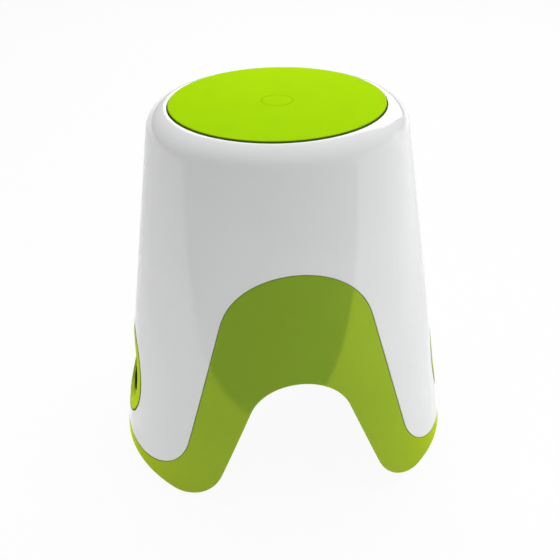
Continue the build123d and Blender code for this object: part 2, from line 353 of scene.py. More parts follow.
def edge_lines(angles, arch, away, lowest=0.0, grow=0.0):
    """Lines over a rounded edge, from the outer surface into the cut.

    At angle a the line lies EDGE_ROUND (1 - sin a) back from the cut and EDGE_ROUND (1 - cos a) deep.
    away is +1 where the material lies outside the opening, and -1 where it lies inside.
    """
    lines = []
    for a in np.linspace(0, pi / 2, ROUND_STEPS):
        back = EDGE_ROUND * (1 - sin(a))
        deep = EDGE_ROUND * (1 - cos(a))
        height = cut_height(angles, arch, grow + away * back, deep, lowest + back)
        lines.append(side_ring(angles, height, deep))
    return lines


def egg_reach(direction, shrink):
    """Distance from the grip's middle to its egg-shaped outline: two half ellipses of one width."""
    width = GRIP_HALF_WIDTH - shrink
    tall = np.where(np.sin(direction) > 0, GRIP_RISE, GRIP_DROP) - shrink
    return 1 / np.sqrt((np.cos(direction) / width) ** 2 + (np.sin(direction) / tall) ** 2)


def on_right(y, z, inset):
    """Points of the right-hand side above the Y-Z place, where x = sqrt(radius(z)^2 - y^2)."""
    x = np.sqrt(side_radius(z, inset) ** 2 - y ** 2)
    return np.stack([x, y + 0 * x, z + 0 * x], axis=-1)


def egg_line(direction, shrink, inset):
    """Line on the right-hand side along the grip's outline, at polar directions about its middle."""
    reach = egg_reach(direction, shrink)
    return on_right(reach * np.cos(direction), GRIP_HEIGHT + reach * np.sin(direction), inset)


def window_lines(loop, shrink, inset, steps=5):
    """Directions of a loop of the side's grid, and lines from it to the grip's outline along each ray."""
    direction = np.arctan2(loop[:, 2] - GRIP_HEIGHT, loop[:, 1])
    far = np.hypot(loop[:, 1], loop[:, 2] - GRIP_HEIGHT)
    near = egg_reach(direction, shrink)
    lines = []
    for share in np.linspace(0, 1, steps):
        reach = far + (near - far) * share
        lines.append(on_right(reach * np.cos(direction), GRIP_HEIGHT + reach * np.sin(direction), inset))
    return direction, lines


def block_loop(lines, rows, columns):
    """Closed loop of the grid points round a block of rows and columns."""
    grid = np.asarray(lines)[rows.start:rows.stop + 1, columns.start:columns.stop + 1]
    return np.concatenate([grid[0, :-1], grid[:-1, -1], grid[-1, :0:-1], grid[:0:-1, 0]])


def mirrored(points):
    """The same points on the left-hand side."""
    return np.asarray(points) * np.array([-1, 1, 1])


def placed(points, x=0.0, y=0.0, turn=0.0):
    """Points moved along X and Y and then turned about the stool's axis."""
    moved = np.asarray(points) + np.array([x, y, 0])
    about = np.array([[cos(turn), -sin(turn), 0], [sin(turn), cos(turn), 0], [0, 0, 1]])
    return moved @ about.T


def soft_profile(corners, steps=5):
    """Polyline through (radius, height, round) corners, each rounded by an arc between its tangents.

    A point a little before and after each arc keeps the flats beside it flat in the shading.
    The arc between start and end spokes: (start sin((1 - s) sweep) + end sin(s sweep)) / sin(sweep).
    """
    line = []
    count = len(corners)
    for place, (r, z, rounding) in enumerate(corners):
        here = np.array([r, z])
        if rounding == 0 or place in (0, count - 1):
            line.append(here)
            continue
        back = np.array(corners[place - 1][:2]) - here
        ahead = np.array(corners[place + 1][:2]) - here
        back = back / np.linalg.norm(back)
        ahead = ahead / np.linalg.norm(ahead)
        half = acos(np.clip(back @ ahead, -1, 1)) / 2
        middle = (back + ahead) / np.linalg.norm(back + ahead)
        centre = here + middle * rounding / sin(half)
        start = here + back * rounding / tan(half) - centre
        end = here + ahead * rounding / tan(half) - centre
        sweep = pi - 2 * half
        line.append(centre + start + back * rounding / 4)
        for share in np.linspace(0, 1, steps):
            spoke = start * sin((1 - share) * sweep) + end * sin(share * sweep)
            line.append(centre + spoke / sin(sweep))
        line.append(centre + end + ahead * rounding / 4)
    return line


def turned(angles, profile):
    """Rings of a turned shape, one for each (radius, height) of its profile."""
    return [ring(angles, r, z) for r, z in profile]


def even_turn(count):
    """Angles of an even turn."""
    return np.linspace(0, 2 * pi, count, endpoint=False)


def web_steps(half, soft, pull):
    """Steps across a web: the place across it, and the share that its outline is drawn in to its middle.

    Both faces close at their middle, and each face's outline is drawn in by pull, which softens its edge.
    """
    return [(-half, 1.0), (-half, pull), (-half + soft, 0.0), (half - soft, 0.0), (half, pull), (half, 1.0)]


class Moulding:
    """Gathers sheets of points, then makes them one smooth closed mesh that rides on the stool."""

    def __init__(self):
        self.points = []
        self.faces = []
        self.count = 0

    def sheet(self, lines, left_out=None, around=True):
        """Quads between neighbouring lines. left_out marks the quads that are skipped.

        around joins the last point of each line to its first.
        """
        grid = np.asarray(lines)
        rows, columns = grid.shape[:2]
        index = self.count + np.arange(rows * columns).reshape(rows, columns)
        here = index if around else index[:, :-1]
        following = np.roll(index, -1, axis=1) if around else index[:, 1:]
        quads = np.stack([here[:-1], here[1:], following[1:], following[:-1]], axis=-1)
        kept = slice(None) if left_out is None else ~left_out
        self.faces.append(quads[kept].reshape(-1, 4))
        self.points.append(grid.reshape(-1, 3))
        self.count += rows * columns

    def finish(self, name, node, material, sharp=38):
        """Merges the sheets' shared edges, turns the faces outwards and gives the piece its finish."""
        mesh = bpy.data.meshes.new(name)
        mesh.from_pydata(np.concatenate(self.points).tolist(), [], np.concatenate(self.faces).tolist())
        work = bmesh.new()
        work.from_mesh(mesh)
        bmesh.ops.remove_doubles(work, verts=work.verts, dist=MERGE_DISTANCE)
        bmesh.ops.dissolve_degenerate(work, edges=work.edges, dist=MERGE_DISTANCE / 2)
        bmesh.ops.recalc_face_normals(work, faces=work.faces)
        work.to_mesh(mesh)
        work.free()
        mesh.shade_smooth()
        mesh.set_sharp_from_angle(angle=radians(sharp))
        mesh.normals_split_custom_set_from_vertices(bell_normals(mesh))
        mesh.materials.append(material)
        piece = bpy.data.objects.new(name, mesh)
        bpy.context.scene.collection.objects.link(piece)
        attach(piece, "root")
        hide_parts(node)


def bell_normals(mesh):
    """Exact normals for points on the outer bell surface, and zero elsewhere, which keeps the mesh's own.

    On the side the normal rises by the taper. On the shoulder it points from the arc's centre.
    """
    points = np.zeros(len(mesh.vertices) * 3)
    mesh.vertices.foreach_get("co", points)
    points = points.reshape(-1, 3)
    radius = np.hypot(points[:, 0], points[:, 1])
    out = radius - ARC_RADIUS
    up = points[:, 2] - ARC_HEIGHT
    lift = np.arctan2(up, out)
    on_side = (np.abs(radius - side_radius(points[:, 2])) < ON_SURFACE) & (lift < TAPER)
    on_arc = (np.abs(np.hypot(out, up) - SHOULDER_ROUND) < ON_SURFACE) & (lift >= TAPER) & (out > 0)
    tilt = np.where(on_side, TAPER, np.clip(lift, TAPER, pi / 2))
    level = np.cos(tilt) / np.maximum(radius, MM)
    normals = np.stack([points[:, 0] * level, points[:, 1] * level, np.sin(tilt)], axis=-1)
    normals[~(on_side | on_arc)] = 0
    return normals.tolist()


def grip_columns(angles):
    """Columns of the right grip's block, and those of the left, which mirror them."""
    near = np.nonzero(np.abs(angles - pi / 2) < GRIP_SPREAD)[0]
    right = slice(int(near[0]), int(near[-1]))
    return right, slice(len(angles) - right.stop, len(angles) - right.start)


def grip_blocks(lines, angles):
    """Mask of the quads that the two grip windows take out of a side's grid."""
    left_out = np.zeros((len(lines) - 1, len(angles)), bool)
    for columns in grip_columns(angles):
        left_out[GRIP_ROWS, columns] = True
    return left_out


def outer_shell(material):
    """White shell: recess floor and wall, lip, shoulder, side, rounded cut edge, and the inside again."""
    part = Moulding()
    angles = column_angles([SHELL_ARCH])
    lip_angle = acos((RECESS_RADIUS + EDGE_ROUND - ARC_RADIUS) / (SHOULDER_ROUND - EDGE_ROUND))
    lip_z = ARC_HEIGHT + (SHOULDER_ROUND - EDGE_ROUND) * sin(lip_angle)
    crown = [ring(angles, 0.0, PLATE_TOP), ring(angles, RECESS_RADIUS / 2, PLATE_TOP),
             ring(angles, RECESS_RADIUS, PLATE_TOP)]
    for a in np.linspace(pi, lip_angle, ROUND_STEPS):
        lip_radius = RECESS_RADIUS + EDGE_ROUND + EDGE_ROUND * cos(a)
        crown.append(ring(angles, lip_radius, lip_z + EDGE_ROUND * sin(a)))
    crown += arc_rings(angles, 0.0, lip_angle, TAPER, SHOULDER_STEPS)
    part.sheet(crown)
    rounded = edge_lines(angles, SHELL_ARCH, +1)
    foot = rounded[0][:, 2]
    outside = side_lines(angles, foot, 0.0)
    part.sheet(outside, grip_blocks(outside, angles))
    inner_foot = cut_height(angles, SHELL_ARCH, 0.0, SHELL_WALL)
    inside = side_lines(angles, inner_foot, SHELL_WALL)
    part.sheet(rounded + [inside[-1]])
    part.sheet(inside, grip_blocks(inside, angles))
    drum_radius = RECESS_RADIUS + SHELL_WALL
    meeting = acos((drum_radius - ARC_RADIUS) / (SHOULDER_ROUND - SHELL_WALL))
    ceiling = arc_rings(angles, SHELL_WALL, TAPER, meeting, 9)
    ceiling += [ring(angles, drum_radius, PLATE_BOTTOM), ring(angles, drum_radius / 2, PLATE_BOTTOM),
                ring(angles, 0.0, PLATE_BOTTOM)]
    part.sheet(ceiling)
    columns = grip_columns(angles)[0]
    direction, lines = window_lines(block_loop(outside, GRIP_ROWS, columns), -EDGE_ROUND, 0.0)
    for a in np.linspace(0, pi / 2, ROUND_STEPS)[1:]:
        lines.append(egg_line(direction, -EDGE_ROUND * (1 - sin(a)), EDGE_ROUND * (1 - cos(a))))
    lines += window_lines(block_loop(inside, GRIP_ROWS, columns), 0.0, SHELL_WALL, 3)[1][::-1]
    part.sheet(lines)
    part.sheet(mirrored(lines))
    boss = soft_profile([(0, BOSS_BOTTOM, 0), (BOSS_RADIUS, BOSS_BOTTOM, BOSS_ROUND),
                         (BOSS_RADIUS, BOSS_ROOT, 0), (0, BOSS_ROOT, 0)], 4)
    part.sheet(turned(even_turn(SCREW_COLUMNS), boss))
    part.finish("shell_skin", "outer_shell", material)


def inner_body(material):
    """Green body: hidden dome, step out to the flush band, doorway edge, foot flange, and the inside.

    The foot flange narrows where the doorway's edge rises from the floor:
    width = band + (flange - band) sqrt(share of the flange's height above that edge).
    """
    part = Moulding()
    angles = column_angles([SHELL_ARCH, DOOR_ARCH])
    outer_start = asin((BODY_TOP - ARC_HEIGHT) / (SHOULDER_ROUND - BODY_INSET))
    inner_start = asin((BODY_CEILING - ARC_HEIGHT) / (SHOULDER_ROUND - BODY_INNER))
    dome = [ring(angles, BOSS_HOLE_RADIUS, BODY_CEILING), ring(angles, BOSS_HOLE_RADIUS, BODY_TOP),
            ring(angles, TOP_RING_RADIUS, BODY_TOP)]
    part.sheet(dome + arc_rings(angles, BODY_INSET, outer_start, TAPER, 5))
    step_top = cut_height(angles, SHELL_ARCH, -SEAM_GAP, BODY_INSET)
    hidden = side_lines(angles, step_top, BODY_INSET)
    part.sheet(hidden, grip_blocks(hidden, angles))
    upper = edge_lines(angles, SHELL_ARCH, -1, grow=-SEAM_GAP)
    part.sheet([hidden[-1]] + upper[::-1])
    lower = edge_lines(angles, DOOR_ARCH, +1, FOOT_HEIGHT)
    high, low = upper[0][:, 2], lower[0][:, 2]
    part.sheet([side_ring(angles, high + (low - high) * share) for share in np.linspace(0, 1, 8)])
    full = FLANGE_TOP - FOOT_HEIGHT
    reach = cut_height(angles, DOOR_ARCH, 0.0, FLANGE_WIDTH, FOOT_HEIGHT)
    thick = np.clip((FLANGE_TOP - reach) / full, 0, 1)
    width = BAND_WALL + (FLANGE_WIDTH - BAND_WALL) * np.sqrt(thick)
    toe = cut_height(angles, DOOR_ARCH, 0.0, width, FOOT_HEIGHT)
    heel = np.maximum(cut_height(angles, DOOR_ARCH, 0.0, BAND_WALL, FOOT_HEIGHT), FLANGE_TOP)
    step_low = cut_height(angles, SHELL_ARCH, -SEAM_GAP - STEP_WALL, BAND_WALL)
    lines = [lower[-1]]
    for share in np.linspace(0, 1, 4)[1:]:
        inset = EDGE_ROUND + (width - EDGE_ROUND) * share
        lines.append(side_ring(angles, cut_height(angles, DOOR_ARCH, 0.0, inset, FOOT_HEIGHT), inset))
    lines.append(side_ring(angles, np.maximum(toe, FLANGE_TOP), width))
    lines += [side_ring(angles, heel + (step_low - heel) * share, BAND_WALL)
              for share in np.linspace(0, 1, 6)]
    step_high = cut_height(angles, SHELL_ARCH, -SEAM_GAP - STEP_WALL, BODY_INNER)
    inside = side_lines(angles, step_high, BODY_INNER)
    part.sheet(lower)
    part.sheet(lines + [inside[-1]])
    part.sheet(inside, grip_blocks(inside, angles))
    ceiling = arc_rings(angles, BODY_INNER, TAPER, inner_start, 5)
    ceiling += [ring(angles, TOP_RING_RADIUS, BODY_CEILING), ring(angles, BOSS_HOLE_RADIUS, BODY_CEILING)]
    part.sheet(ceiling)
    columns = grip_columns(angles)[0]
    shrink = GRIP_PLUG - GRIP_CLEARANCE
    window = window_lines(block_loop(hidden, GRIP_ROWS, columns), shrink, BODY_INSET, 4)[1]
    window += window_lines(block_loop(inside, GRIP_ROWS, columns), shrink, BODY_INNER, 4)[1][::-1]
    part.sheet(window)
    part.sheet(mirrored(window))
    for place in range(GUSSET_COUNT):
        part.sheet(placed(gusset(), turn=GUSSET_TURN + place * 2 * pi / GUSSET_COUNT))
    part.finish("body_skin", "inner_body", material)


def gusset():
    """Upright web under the dome: its outline in radius and height, carried across the web's thickness."""
    def wall(height):
        """Radius of the middle of the body's wall."""
        return side_radius(height, BODY_INSET + BODY_WALL / 2)

    plate = BODY_CEILING + BODY_WALL / 2
    low = BODY_CEILING - GUSSET_DROP
    outline = np.array([[wall(ARC_HEIGHT) - GUSSET_LENGTH, plate], [ARC_RADIUS + GUSSET_CORNER, plate],
                        [wall(ARC_HEIGHT), ARC_HEIGHT], [wall(low), low]])
    middle = outline.mean(axis=0)
    lines = []
    for across, pull in web_steps(GUSSET_THICKNESS / 2, GUSSET_SOFT, GUSSET_SOFT / GUSSET_LENGTH * 2):
        drawn = outline + (middle - outline) * pull
        lines.append(np.stack([drawn[:, 0], 0 * drawn[:, 0] + across, drawn[:, 1]], axis=-1))
    return lines


def even_loop(points):
    """The same closed outline with the liner's number of points, evenly along its length."""
    closed = np.concatenate([points, points[:1]])
    along = np.concatenate([[0], np.cumsum(np.linalg.norm(np.diff(closed, axis=0), axis=1))])
    places = np.linspace(0, along[-1], GRIP_COLUMNS, endpoint=False)
    return np.stack([np.interp(places, along, closed[:, axis]) for axis in (0, 1)], axis=-1)


def slot_outline(grow):
    """Rounded slot about its level, grown all round: quarter arcs at the corners of a smaller rectangle."""
    across = SLOT_WIDTH / 2 - SLOT_ROUND
    tall = SLOT_DEPTH / 2 - SLOT_ROUND
    rounding = SLOT_ROUND + grow
    points = []
    for corner, (sx, sz) in enumerate([(1, 1), (-1, 1), (-1, -1), (1, -1)]):
        middle = np.array([sx * across, SLOT_LEVEL + sz * tall])
        for a in np.linspace(0, pi / 2, CORNER_SAMPLES) + corner * pi / 2:
            points.append(middle + rounding * np.array([cos(a), sin(a)]))
    start = np.array([[across + rounding, SLOT_LEVEL]])
    return even_loop(np.concatenate([start, np.array(points)]))


def egg_outline(shrink):
    """The grip's outline, smaller all round by shrink, with its points even along its length."""
    direction = even_turn(EGG_SAMPLES)
    reach = egg_reach(direction, shrink)
    points = np.stack([reach * np.cos(direction), GRIP_HEIGHT + reach * np.sin(direction)], axis=-1)
    return even_loop(points)


def grip_liner(side, material):
    """Grip liner: flush ring, dished face, finger slot with its collar, and the back of it all.

    Each line is an outline at a depth below the side. Across the dish the outline goes from the ring's
    inner edge to the slot's, and the depth is 3 f^2 - 2 f^3 of the dish's, with f = share / DISH_SHARE,
    up to 1.
    """
    part = Moulding()

    def egg(shrink, inset):
        """Line along the egg outline, shrunk and set below the side."""
        outline = egg_outline(shrink)
        return on_right(outline[:, 0], outline[:, 1], inset)

    def slot(grow, inset):
        """Line along the finger slot, grown and set below the side."""
        outline = slot_outline(grow)
        return on_right(outline[:, 0], outline[:, 1], inset)

    def between(share, inset):
        """Line at a share of the way from the ring's inner edge to the slot's lip."""
        outer = egg_outline(GRIP_RING)
        outline = outer + (slot_outline(SLOT_LIP) - outer) * share
        return on_right(outline[:, 0], outline[:, 1], inset)

    lines = [egg(SEAM_GAP, RING_BACK)]
    for a in np.linspace(pi / 2, 0, ROUND_STEPS):
        lines.append(egg(SEAM_GAP + EDGE_ROUND * (1 - sin(a)), EDGE_ROUND * (1 - cos(a))))
    for share in np.linspace(0, 1, 5)[1:]:
        lines.append(egg(SEAM_GAP + EDGE_ROUND + (GRIP_RING - SEAM_GAP - EDGE_ROUND) * share, 0.0))
    for share in np.linspace(0, 1, 15)[1:]:
        fall = np.clip(share / DISH_SHARE, 0, 1)
        lines.append(between(share, GRIP_DISH * (fall * fall * (3 - 2 * fall))))
    for a in np.linspace(0, pi / 2, ROUND_STEPS)[1:]:
        lines.append(slot(SLOT_LIP * (1 - sin(a)), GRIP_DISH + SLOT_LIP * (1 - cos(a))))
    middle = GRIP_WALL / 2
    for a in np.linspace(0, pi, 7):
        lines.append(slot(middle - middle * cos(a), COLLAR_DEPTH - COLLAR_ROUND + COLLAR_ROUND * sin(a)))
    dish_back = GRIP_DISH + GRIP_WALL
    lines += [slot(GRIP_WALL, dish_back), egg(GRIP_PLUG, dish_back), egg(GRIP_PLUG, RING_BACK), lines[0]]
    part.sheet(lines if side > 0 else mirrored(lines))
    for direction in (0, pi / 2, pi, 3 * pi / 2):
        hook = grip_hook(direction)
        part.sheet(hook if side > 0 else mirrored(hook))
    name = "right" if side > 0 else "left"
    part.finish("grip_skin_" + name, "grip_liner_" + name, material)


def grip_hook(direction):
    """Hook behind the liner: a leg along the plug wall, then a catch that reaches behind the body's wall.

    Its cross-section, in depth and in distance from the grip's middle, is carried across the hook's width.
    """
    wall = float(egg_reach(np.array(direction), GRIP_PLUG))
    leg_outer = -HOOK_PLAY
    leg_inner = leg_outer - HOOK_LEG
    section = [(HOOK_START, leg_inner), (HOOK_START, leg_outer), (HOOK_CATCH, leg_outer),
               (HOOK_CATCH, HOOK_REACH), (HOOK_END - HOOK_NOSE_DEPTH, HOOK_REACH),
               (HOOK_END, HOOK_REACH - HOOK_NOSE_FALL), (HOOK_END, leg_inner)]
    depth, reach = np.array(section).T
    reach = wall + reach
    lines = []
    for across, pull in web_steps(HOOK_WIDTH / 2, HOOK_SOFT, HOOK_PULL):
        d = depth + (depth.mean() - depth) * pull
        q = reach + (reach.mean() - reach) * pull
        y = q * cos(direction) - across * sin(direction)
        z = GRIP_HEIGHT + q * sin(direction) + across * cos(direction)
        lines.append(on_right(y, z, d))
    return lines


def seat_disc(material):
    """Seat disc: a turned plate with softened rim, skirt, ring ribs, screw well and cap seat."""
    part = Moulding()
    under = SEAT_HEIGHT - DISC_PLATE
    well_floor = SEAT_HEIGHT - WELL_DEPTH
    cap_floor = SEAT_HEIGHT - CAP_DEPTH
    skirt = DISC_RADIUS - DISC_SKIRT
    corners = [(SCREW_HOLE_RADIUS, PLATE_TOP, 0), (SCREW_HOLE_RADIUS, well_floor, 0),
               (WELL_RADIUS, well_floor, 0), (WELL_RADIUS, cap_floor, CAP_SOFT), (CAP_RADIUS, cap_floor, 0),
               (CAP_RADIUS, SEAT_HEIGHT, CAP_ROUND), (DISC_RADIUS, SEAT_HEIGHT, DISC_ROUND),
               (DISC_RADIUS, PLATE_TOP, SKIRT_ROUND), (skirt, PLATE_TOP, SKIRT_ROUND), (skirt, under, 0)]
    for radius in reversed(RIB_RADII):
        corners += [(radius + RIB_HALF, under, 0), (radius + RIB_HALF, PLATE_TOP, 0),
                    (radius - RIB_HALF, PLATE_TOP, 0), (radius - RIB_HALF, under, 0)]
    backing = under - BACKING_DEPTH
    corners += [(BACKING_RADIUS, under, 0), (BACKING_RADIUS, backing, 0), (WELL_BOSS_RADIUS, backing, 0),
                (WELL_BOSS_RADIUS, PLATE_TOP, 0), (SCREW_HOLE_RADIUS, PLATE_TOP, 0)]
    part.sheet(turned(even_turn(DISC_COLUMNS), soft_profile(corners)))
    root = under + PEG_ROOT
    peg = soft_profile([(0, PEG_TIP, 0), (PEG_RADIUS, PEG_TIP, PEG_ROUND), (PEG_RADIUS, root, 0),
                        (0, root, 0)])
    rings = turned(even_turn(PEG_COLUMNS), peg)
    for place in range(PEG_COUNT):
        part.sheet(placed(rings, x=PEG_CIRCLE, turn=place * 2 * pi / PEG_COUNT))
    part.finish("seat_skin", "seat_disc", material)


def centre_cap(material):
    """Round cap, a hair smaller than its seat, with a short skirt in the screw well."""
    part = Moulding()
    radius = CAP_RADIUS - CAP_PLAY
    floor = SEAT_HEIGHT - CAP_DEPTH
    skirt_end = floor - CAP_SKIRT_LENGTH
    corners = [(0, SEAT_HEIGHT, 0), (radius, SEAT_HEIGHT, CAP_ROUND), (radius, floor, 0),
               (CAP_SKIRT_OUTER, floor, 0), (CAP_SKIRT_OUTER, skirt_end, CAP_SOFT),
               (CAP_SKIRT_INNER, skirt_end, CAP_SOFT), (CAP_SKIRT_INNER, floor, 0), (0, floor, 0)]
    part.sheet(turned(even_turn(CAP_COLUMNS), soft_profile(corners)))
    part.finish("cap_skin", "centre_cap", material)


def screw_rings(shank, head, head_height, length, socket):
    """Screw along Z with its head's bearing face at 0: pan head above, hexagon socket, shank below.

    The socket's rings follow a hexagon with its corners at radius socket: the radius is
    socket cos(30 degrees) / cos(angle from the middle of a flat).
    """
    angles = even_turn(SCREW_COLUMNS)
    sixth = (angles + pi / 6) % (pi / 3) - pi / 6
    hexagon = socket * cos(pi / 6) / np.cos(sixth)
    deep = head_height - SOCKET_DEPTH
    rings = [ring(angles, 0.0, deep), ring(angles, hexagon, deep), ring(angles, hexagon, head_height)]
    dome = soft_profile([(socket * 1.2, head_height, 0), (head, head_height, head_height * 0.6),
                         (head, 0, 0)])
    tip = soft_profile([(shank, 0, 0), (shank, -length + TIP_LENGTH, 0), (shank * 0.5, -length, 0),
                        (0, -length, 0)])
    return rings + turned(angles, dome + tip)


def screws(material):
    """The seat screw, head up in the well, and six shell screws, heads down under the dome."""
    part = Moulding()
    part.sheet(np.asarray(screw_rings(**SEAT_SCREW)) + np.array([0, 0, SEAT_HEIGHT - WELL_DEPTH]))
    part.finish("seat_screw_skin", "seat_screw", material)
    part = Moulding()
    lines = np.asarray(screw_rings(**SHELL_SCREW)) * np.array([1, -1, -1]) + np.array([0, 0, BODY_CEILING])
    for place in range(SHELL_SCREW_COUNT):
        part.sheet(placed(lines, x=SCREW_CIRCLE, turn=place * 2 * pi / SHELL_SCREW_COUNT))
    part.finish("shell_screw_skins", "shell_screws", material)


def pad_outline(shrink):
    """Rounded oblong of a pad, smaller all round by shrink: arcs about a smaller rectangle's corners."""
    across = PAD_WIDTH / 2 - PAD_ROUND
    along = PAD_LENGTH / 2 - PAD_ROUND
    rounding = PAD_ROUND - shrink
    a = even_turn(PAD_COLUMNS) + pi / PAD_COLUMNS
    x = np.sign(np.cos(a)) * across + rounding * np.cos(a)
    y = np.sign(np.sin(a)) * along + rounding * np.sin(a)
    return x, y


def foot_pads(material):
    """Anti-slip pads: rounded oblongs whose underside has three grooves that follow the outline.

    The section goes from the middle of the top out, down the wall and back under, as shrink and height.
    """
    names = {"front_right": -PAD_BEARING, "back_right": PAD_BEARING,
             "back_left": pi - PAD_BEARING, "front_left": pi + PAD_BEARING}
    section = [(PAD_CORE, PAD_HEIGHT), (PAD_TOP_SOFT, PAD_HEIGHT), (0.0, PAD_HEIGHT - PAD_TOP_SOFT),
               (0.0, PAD_SOLE_SOFT), (PAD_SOLE_MIDDLE, PAD_SOLE_MIDDLE), (PAD_SOLE_SOFT, 0.0)]
    for groove in range(GROOVE_COUNT):
        near = GROOVE_START + GROOVE_PITCH * groove
        far = near + GROOVE_WIDTH
        section += [(near, 0.0), (near + GROOVE_SLOPE, GROOVE_DEPTH), (far - GROOVE_SLOPE, GROOVE_DEPTH),
                    (far, 0.0)]
    section.append((PAD_CORE, 0.0))
    for name, bearing in names.items():
        part = Moulding()
        lines = []
        for shrink, height in section:
            x, y = pad_outline(shrink)
            lines.append(np.stack([x, y, 0 * x + height], axis=-1))
        part.sheet(placed(lines, x=PAD_RADIUS, turn=bearing))
        for row in (lines[0], lines[-1]):
            across = np.stack([row[:len(row) // 2], row[len(row) // 2:][::-1]])
            part.sheet(placed(across, x=PAD_RADIUS, turn=bearing), around=False)
        part.finish("pad_skin_" + name, "foot_pad_" + name, material, sharp=60)


class Value:
    """An output socket with Python arithmetic: an expression on values adds its Math nodes."""

    def __init__(self, paint, socket):
        self.paint = paint
        self.socket = socket

    def maths(self, operation, *others):
        """Value of a Math node with this value first and the others after it."""
        return self.paint.node("Math", {"operation": operation}, dict(enumerate((self, *others))))

    def __add__(self, other):
        return self.maths("ADD", other)

    def __sub__(self, other):
        return self.maths("SUBTRACT", other)

    def __rsub__(self, other):
        return self.paint.node("Math", {"operation": "SUBTRACT"}, {0: other, 1: self})

    def __mul__(self, other):
        return self.maths("MULTIPLY", other)

    __radd__ = __add__
    __rmul__ = __mul__

    def smooth(self, low, high):
        """0 below low, 1 above high, with a smooth rise between."""
        return self.paint.node("MapRange", {"interpolation_type": "SMOOTHSTEP"},
                               {"Value": self, "From Min": low, "From Max": high})


# Sockets of a colour Mix node, which share their names with its other kinds
MIX_FIRST = 6
MIX_SECOND = 7
MIX_COLOUR = 2


class Paint:
    """Builds the node tree of a material or of the world."""

    def __init__(self, owner):
        owner.use_nodes = True
        self.tree = owner.node_tree
        self.tree.nodes.clear()

    def node(self, kind, settings=None, inputs=None, output=0):
        """Adds a node: its settings first, then the values or links of its sockets."""
        made = self.tree.nodes.new("ShaderNode" + kind)
        for name, value in (settings or {}).items():
            setattr(made, name, value)
        for name, value in (inputs or {}).items():
            if isinstance(value, Value):
                self.tree.links.new(value.socket, made.inputs[name])
            else:
                made.inputs[name].default_value = value
        return Value(self, made.outputs[output])

    def noise(self, place, scale, detail=3.0, roughness=0.5):
        """Noise about 0.5 on object coordinates, scale in features per metre."""
        return self.node("TexNoise", {}, {"Vector": place, "Scale": scale, "Detail": detail,
                                          "Roughness": roughness})

    def split(self, vector):
        """The three numbers of a vector."""
        parts = self.node("SeparateXYZ", {}, {"Vector": vector}).socket.node.outputs
        return [Value(self, part) for part in parts]

    def mix(self, share, first, second):
        """Colour between two colours. first may be a colour or the value of an earlier mix."""
        first = first if isinstance(first, Value) else (*first, 1)
        inputs = {"Factor": share, MIX_FIRST: first, MIX_SECOND: (*second, 1)}
        return self.node("Mix", {"data_type": "RGBA"}, inputs, MIX_COLOUR)

    def bump(self, height):
        """Normal of a surface that is raised by a height in metres."""
        return self.node("Bump", {}, {"Height": height, "Strength": 1.0, "Distance": 1.0})

    def light_path(self, *names):
        """Values of the named outputs of Light Path, each 1 on its kind of ray and 0 on others."""
        outputs = self.node("LightPath").socket.node.outputs
        return [Value(self, outputs[name]) for name in names]

    def surface(self, shader):
        """Joins a shader to the output of the material or the world."""
        kind = "OutputWorld" if isinstance(self.tree.id_data, bpy.types.World) else "OutputMaterial"
        made = self.tree.nodes.new("ShaderNode" + kind)
        self.tree.links.new(shader.socket, made.inputs["Surface"])


def moulded_plastic(name, colours, roughness, grain=0.0, tinted=None, shaded=None):
    """Moulded plastic: a slow drift of colour, a faint ripple of the tool's polish and fine handling marks.

    colours are the two that it drifts between, and grain is the height of a fine spark texture in metres.
    tinted gives the colour and the refractive index of a coloured gloss in place of the plain one.
    shaded gives the colour of painted shade and the mask that lays it on, where shade falls in seams and
    hollows. The gloss ends there, and it is weaker at a grazing view.
    """
    material = bpy.data.materials.new(name)
    paint = Paint(material)
    place = paint.node("TexCoord", {}, {}, "Object")
    drift = paint.noise(place, 9.0, 2.0).smooth(0.3, 0.7)
    marks = paint.noise(place, 420.0, 4.0, 0.6).smooth(0.55, 0.8)
    rubbed = paint.noise(place, 35.0, 3.0).smooth(0.45, 0.75)
    base = paint.mix(drift, *colours)
    if shaded:
        # Painted shade: a dark colour laid on by the mask where shade falls
        painted_shade_colour, mask = shaded
        dark = mask(paint, place)
        base = paint.mix(dark, base, painted_shade_colour)
    rough = roughness + rubbed * (roughness * 0.15) + marks * (roughness * 0.2)
    ripple = paint.noise(place, 70.0, 2.0) * PEEL
    if grain:
        ripple = ripple + paint.noise(place, 1500.0, 2.0) * grain
    normal = paint.bump(ripple)
    shader = paint.node("BsdfPrincipled", {}, {
        "Base Color": base, "Roughness": rough, "Normal": normal,
        "Specular IOR Level": 0.0 if tinted else PLAIN_GLOSS})
    if tinted:
        tint, index = tinted
        sheen = paint.node("BsdfPrincipled", {}, {
            "Base Color": (*tint, 1), "Roughness": rough, "Normal": normal, "Metallic": 1.0,
            "Specular Tint": (*tint, 1)})
        share = paint.node("Fresnel", {}, {"IOR": index, "Normal": normal})
        if shaded:
            share = share * (1 - share.smooth(0.3, 0.75) * 0.8) * (1 - dark)
        shader = paint.node("MixShader", {}, {0: share, 1: shader, 2: sheen})
    paint.surface(shader)
    return material


def disc_wall_painted_shade(paint, place):
    """Mask of painted shade on the disc's upright wall, which lies in the dark of the gap.

    It rises where the radius nears the disc's edge, and falls off again where z nears the top face.
    """
    x, y, z = paint.split(place)
    radius = (x * x + y * y).maths("SQRT")
    beside = radius.smooth(DISC_RADIUS - WALL_SHADE_START, DISC_RADIUS - WALL_SHADE_FULL)
    above = z.smooth(SEAT_HEIGHT - TOP_SHADE_FULL, SEAT_HEIGHT - TOP_SHADE_END)
    return beside * (1 - above)


